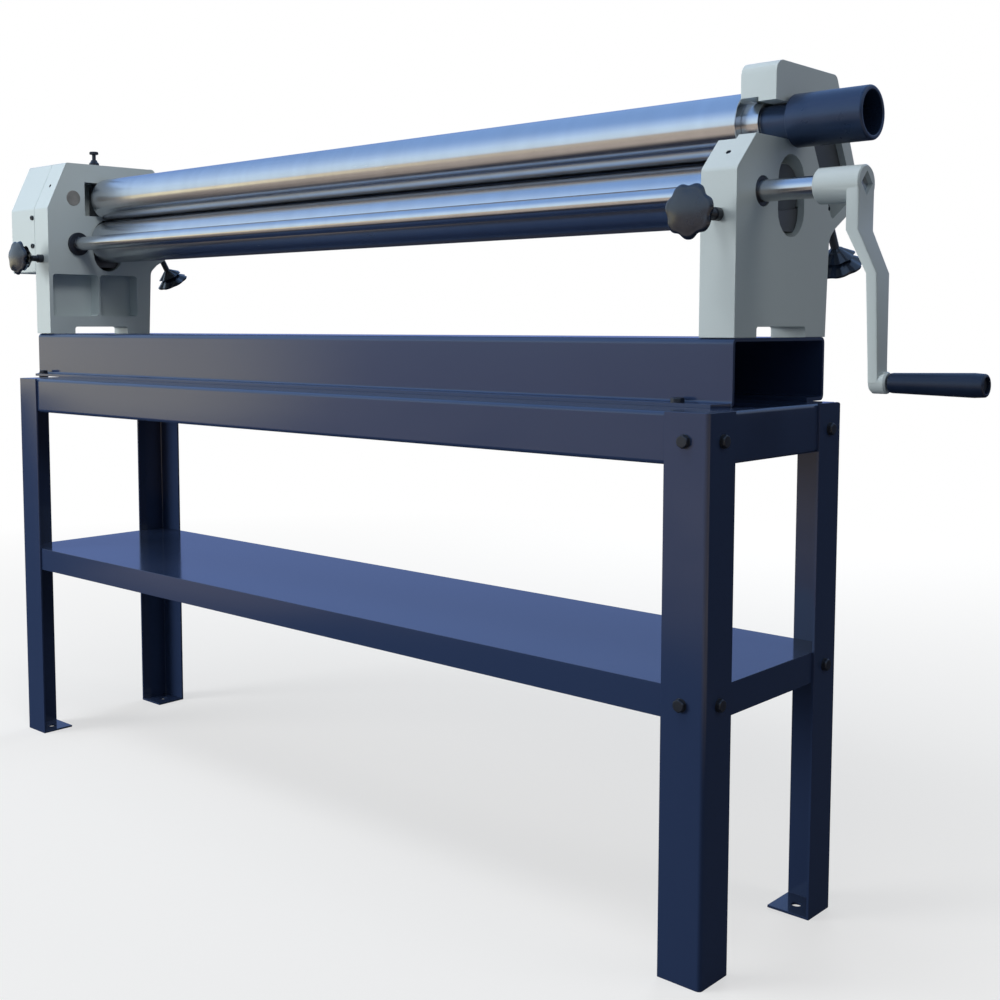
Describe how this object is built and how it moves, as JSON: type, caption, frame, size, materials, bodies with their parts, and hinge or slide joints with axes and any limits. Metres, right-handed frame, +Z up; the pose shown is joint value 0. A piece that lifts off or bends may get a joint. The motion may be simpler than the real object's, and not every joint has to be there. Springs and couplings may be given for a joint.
{
  "type": "slip roll machine",
  "caption": "Hand-cranked slip roll with geared rolls between cast housings, a swing-out upper roll, wedge and screw adjustment, and a sheet steel stand with a shelf.",
  "frame": {"origin": "bottom centre of the box, on the floor", "axes": "+X along the rolls towards the crank, +Y to the back, +Z up"},
  "size_m": [1.767, 0.4124, 1.014],
  "materials": {
    "stand_paint": "gloss navy paint",
    "casting_paint": "satin light grey paint over castings",
    "polished_steel": "turned and polished",
    "ground_steel": "ground",
    "cast_iron": "machined and oiled",
    "blackened_steel": "black oxide",
    "black_plastic": "moulded, satin"
  },
  "bodies": {
    "frame": {"leg_front_right": "stand_paint", "leg_front_left": "stand_paint", "leg_rear_right": "stand_paint", "leg_rear_left": "stand_paint", "rail_front": "stand_paint", "rail_rear": "stand_paint", "rail_right": "stand_paint", "rail_left": "stand_paint", "shelf": "stand_paint", "bolt_rail_front_right": "blackened_steel", "bolt_rail_rear_right": "blackened_steel", "bolt_rail_front_left": "blackened_steel", "bolt_rail_rear_left": "blackened_steel", "bolt_rail_face_right": "blackened_steel", "bolt_shelf_front_right": "blackened_steel", "bolt_shelf_rear_right": "blackened_steel", "bolt_shelf_front_left": "blackened_steel", "bolt_shelf_rear_left": "blackened_steel", "bolt_shelf_face_right": "blackened_steel", "base_beam": "stand_paint", "base_bolt_left": "blackened_steel", "base_bolt_right": "blackened_steel", "housing_right": "casting_paint", "housing_left": "casting_paint", "housing_plug": "cast_iron", "gear_cover": "casting_paint", "cover_screw_upper": "blackened_steel", "cover_screw_lower": "blackened_steel", "crank_bush_right": "blackened_steel", "crank_bush_left": "blackened_steel", "pin_guide": "blackened_steel"},
    "crank": {"crank_shaft": "polished_steel", "crank_pinion": "cast_iron", "crank_arm": "casting_paint", "crank_set_screw": "blackened_steel", "grip_spindle": "blackened_steel"},
    "crank_grip": {"crank_grip": "black_plastic"},
    "lower_bearings": {"lower_block_right": "cast_iron", "lower_block_left": "cast_iron"},
    "lower_roll": {"lower_roll": "polished_steel", "lower_gear": "cast_iron"},
    "wedge_right": {"wedge_right": "ground_steel"},
    "wedge_left": {"wedge_left": "ground_steel"},
    "knob_front_right": {"knob_front_right": "black_plastic"},
    "knob_front_left": {"knob_front_left": "black_plastic"},
    "rear_bearings": {"rear_block_right": "cast_iron", "rear_block_left": "cast_iron"},
    "rear_roll": {"rear_roll": "polished_steel"},
    "knob_rear_right": {"knob_rear_right": "black_plastic"},
    "knob_rear_left": {"knob_rear_left": "black_plastic"},
    "roll_pivot": {"roll_pivot": "cast_iron"},
    "upper_roll": {"upper_roll": "polished_steel", "roll_collar": "polished_steel", "handle_keeper": "blackened_steel"},
    "roll_handle": {"roll_handle": "blackened_steel"},
    "upper_gear": {"upper_gear": "cast_iron", "upper_gear_shaft": "ground_steel"},
    "pivot_pin": {"pivot_pin": "ground_steel"}
  },
  "joints": [
    {"name": "crank_turn", "type": "hinge", "parent": "frame", "child": "crank", "pos_m": [-0.0175, -0.04549, 0.8434], "axis": [1, 0, 0], "continuous": true},
    {"name": "grip_turn", "type": "hinge", "parent": "crank", "child": "crank_grip", "pos_m": [0.8325, -0.04549, 0.6374], "axis": [1, 0, 0], "continuous": true},
    {"name": "wedge_slide_right", "type": "slide", "parent": "frame", "child": "wedge_right", "axis": [0, 1, 0], "range_m": [-0.004, 0.012]},
    {"name": "wedge_slide_left", "type": "slide", "parent": "frame", "child": "wedge_left", "axis": [0, 1, 0], "range_m": [-0.004, 0.012]},
    {"name": "front_screw_right", "type": "hinge", "parent": "frame", "child": "knob_front_right", "pos_m": [0.61, -0.13775, 0.816], "axis": [0, 1, 0], "range_deg": [-2160, 720]},
    {"name": "front_screw_left", "type": "hinge", "parent": "frame", "child": "knob_front_left", "pos_m": [-0.781, -0.13775, 0.816], "axis": [0, 1, 0], "range_deg": [-2160, 720]},
    {"name": "lower_lift", "type": "slide", "parent": "frame", "child": "lower_bearings", "axis": [0, 0, 1], "range_m": [-0.0015, 0.0005]},
    {"name": "lower_roll_turn", "type": "hinge", "parent": "lower_bearings", "child": "lower_roll", "pos_m": [-0.0175, 0.01625, 0.849], "axis": [1, 0, 0], "continuous": true},
    {"name": "rear_travel", "type": "slide", "parent": "frame", "child": "rear_bearings", "axis": [0, -0.5, 0.866], "range_m": [-0.038, 0.012]},
    {"name": "rear_screw_right", "type": "hinge", "parent": "rear_bearings", "child": "knob_rear_right", "pos_m": [0.61, 0.16925, 0.78736], "axis": [0, -0.5, 0.866], "range_deg": [-6840, 2160]},
    {"name": "rear_screw_left", "type": "hinge", "parent": "rear_bearings", "child": "knob_rear_left", "pos_m": [-0.781, 0.16925, 0.78736], "axis": [0, -0.5, 0.866], "range_deg": [-6840, 2160]},
    {"name": "rear_roll_turn", "type": "hinge", "parent": "rear_bearings", "child": "rear_roll", "pos_m": [-0.0175, 0.10825, 0.89301], "axis": [1, 0, 0], "continuous": true},
    {"name": "roll_swing", "type": "hinge", "parent": "frame", "child": "roll_pivot", "pos_m": [-0.781, 0.01625, 0.925], "axis": [0, 0, 1], "range_deg": [-12, 0]},
    {"name": "upper_roll_turn", "type": "hinge", "parent": "roll_pivot", "child": "upper_roll", "pos_m": [-0.0175, 0.01625, 0.925], "axis": [1, 0, 0], "continuous": true},
    {"name": "handle_turn", "type": "hinge", "parent": "upper_roll", "child": "roll_handle", "pos_m": [0.6825, 0.01625, 0.925], "axis": [1, 0, 0], "continuous": true},
    {"name": "upper_gear_turn", "type": "hinge", "parent": "frame", "child": "upper_gear", "pos_m": [-0.8295, 0.01625, 0.925], "axis": [1, 0, 0], "continuous": true},
    {"name": "pin_lift", "type": "slide", "parent": "frame", "child": "pivot_pin", "axis": [0, 0, 1], "range_m": [0, 0.0075], "stiffness_N_per_m": 400, "springref_m": -0.004}
  ],
  "couplings": [
    {"joint": "lower_roll_turn", "follows": "crank_turn", "ratio": -0.63158},
    {"joint": "upper_gear_turn", "follows": "crank_turn", "ratio": 0.63158},
    {"joint": "upper_roll_turn", "follows": "crank_turn", "ratio": 0.63158},
    {"joint": "wedge_slide_left", "follows": "wedge_slide_right", "ratio": 1},
    {"joint": "lower_lift", "follows": "wedge_slide_right", "ratio": -0.125},
    {"joint": "front_screw_right", "follows": "wedge_slide_right", "rad_per_m": -3141.6},
    {"joint": "front_screw_left", "follows": "wedge_slide_right", "rad_per_m": -3141.6},
    {"joint": "rear_screw_right", "follows": "rear_travel", "rad_per_m": 3141.6},
    {"joint": "rear_screw_left", "follows": "rear_travel", "rad_per_m": 3141.6}
  ]
}
